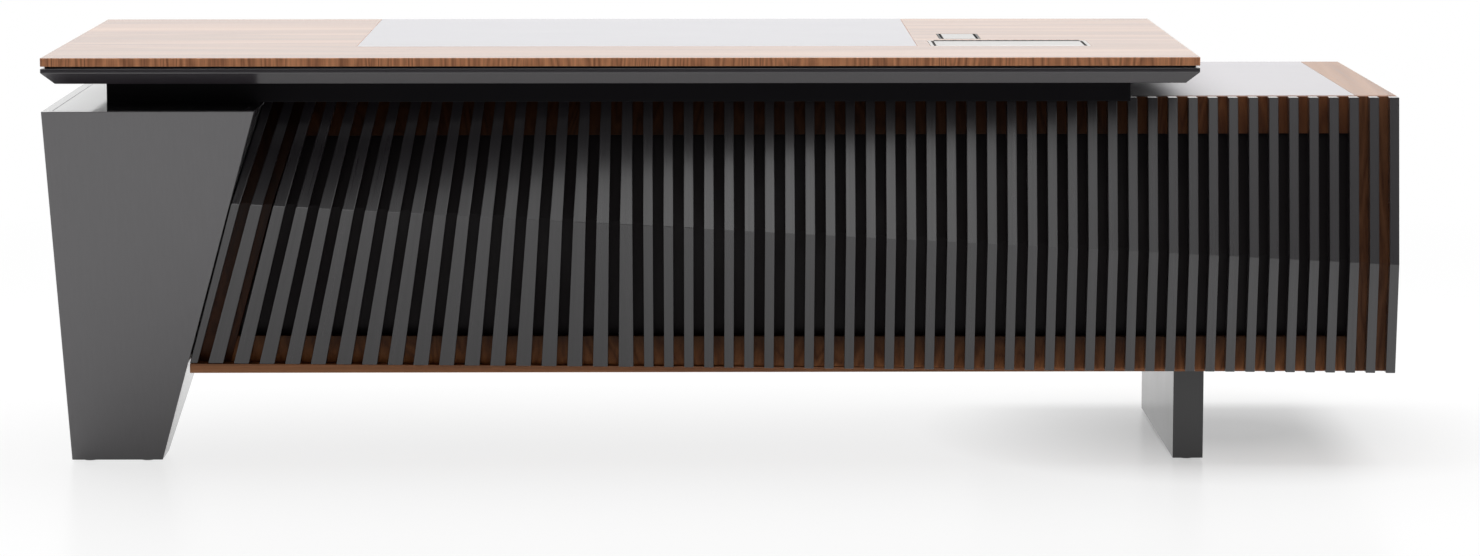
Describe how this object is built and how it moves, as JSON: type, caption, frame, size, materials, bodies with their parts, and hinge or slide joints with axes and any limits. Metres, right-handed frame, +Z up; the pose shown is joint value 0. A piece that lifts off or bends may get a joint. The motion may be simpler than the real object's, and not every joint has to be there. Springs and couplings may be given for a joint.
{
  "type": "executive desk",
  "caption": "Long executive desk: walnut top with a leather pad, one tapered leg, a drawer return on a blade leg, and a folded slatted front whose slats fan out at one end.",
  "frame": {"origin": "floor point under the middle of the whole desk's box", "axes": "+X along the desk towards the return, +Y from the visitor's side to the user's side, +Z up"},
  "size_m": [2.404, 0.915, 0.76],
  "materials": {
    "walnut": "matt oiled walnut veneer",
    "pad_leather": "smooth grey leather",
    "inlay_leather": "smooth grey leather",
    "reveal_black": "matt black stain",
    "grey_lacquer": "satin dark grey lacquer",
    "carcass": "dark grey melamine",
    "panel_dark": "matt charcoal",
    "black_steel": "satin black powder coat",
    "black_board": "satin black",
    "aluminium": "fine brushed",
    "black_plastic": "matt black",
    "steel": "plain zinc",
    "glide": "grey felt-faced nylon",
    "drawer_box": "grey melamine"
  },
  "bodies": {
    "desk": {"base_board": "walnut", "bevelled_subtop": "grey_lacquer", "blade_bolts": "steel", "blade_glides": "glide", "blade_leg": "grey_lacquer", "cabinet_back": "carcass", "cabinet_deck": "walnut", "cabinet_divider": "carcass", "cabinet_floor": "grey_lacquer", "cabinet_left_side": "grey_lacquer", "cabinet_right_side": "grey_lacquer", "cabinet_shelf": "carcass", "cable_flap_pins": "steel", "cable_rim": "aluminium", "cable_tray": "black_steel", "charging_lid_pins": "steel", "charging_module": "black_plastic", "charging_well": "black_plastic", "deck_inlay": "inlay_leather", "door_pins": "steel", "drawer_channels": "steel", "fan_slats": "grey_lacquer", "leg_back_board": "grey_lacquer", "leg_foot_board": "grey_lacquer", "leg_front_board": "grey_lacquer", "leg_glides": "glide", "leg_inner_board": "grey_lacquer", "leg_outer_board": "grey_lacquer", "leg_spacer": "black_board", "leg_top_board": "grey_lacquer", "reveal_board": "reveal_black", "riser_cross_tubes": "black_steel", "riser_front_tube": "black_steel", "riser_rear_tube": "black_steel", "screen_base_rail": "walnut", "screen_left_stile": "walnut", "screen_panel": "panel_dark", "screen_right_stile": "walnut", "screen_top_rail": "walnut", "shelf_pegs": "steel", "socket_strip": "black_plastic", "straight_slats": "grey_lacquer", "wall_back_board": "grey_lacquer", "wall_cap_board": "grey_lacquer", "wall_ribs": "carcass", "worktop_slab": "walnut", "writing_pad": "pad_leather"},
    "cable_flap": {"cable_flap": "aluminium"},
    "charging_lid": {"charging_lid": "aluminium"},
    "cupboard_door": {"cupboard_door": "walnut"},
    "top_drawer": {"top_drawer_front": "walnut", "top_drawer_box": "drawer_box", "top_drawer_bars": "steel"},
    "middle_drawer": {"middle_drawer_front": "walnut", "middle_drawer_box": "drawer_box", "middle_drawer_bars": "steel"},
    "low_drawer": {"low_drawer_front": "walnut", "low_drawer_box": "drawer_box", "low_drawer_bars": "steel"}
  },
  "joints": [
    {"name": "cable_flap_hinge", "type": "hinge", "parent": "desk", "child": "cable_flap", "pos_m": [0.512, -0.2026, 0.757], "axis": [1, 0, 0], "range_deg": [0, 95]},
    {"name": "charging_lid_hinge", "type": "hinge", "parent": "desk", "child": "charging_lid", "pos_m": [0.43, -0.0441, 0.7575], "axis": [1, 0, 0], "range_deg": [0, 95]},
    {"name": "cupboard_door_hinge", "type": "hinge", "parent": "desk", "child": "cupboard_door", "pos_m": [1.173, 0.4485, 0.424], "axis": [0, 0, -1], "range_deg": [0, 95]},
    {"name": "top_drawer_slide", "type": "slide", "parent": "desk", "child": "top_drawer", "axis": [0, 1, 0], "range_m": [0, 0.38]},
    {"name": "middle_drawer_slide", "type": "slide", "parent": "desk", "child": "middle_drawer", "axis": [0, 1, 0], "range_m": [0, 0.38]},
    {"name": "low_drawer_slide", "type": "slide", "parent": "desk", "child": "low_drawer", "axis": [0, 1, 0], "range_m": [0, 0.38]}
  ]
}
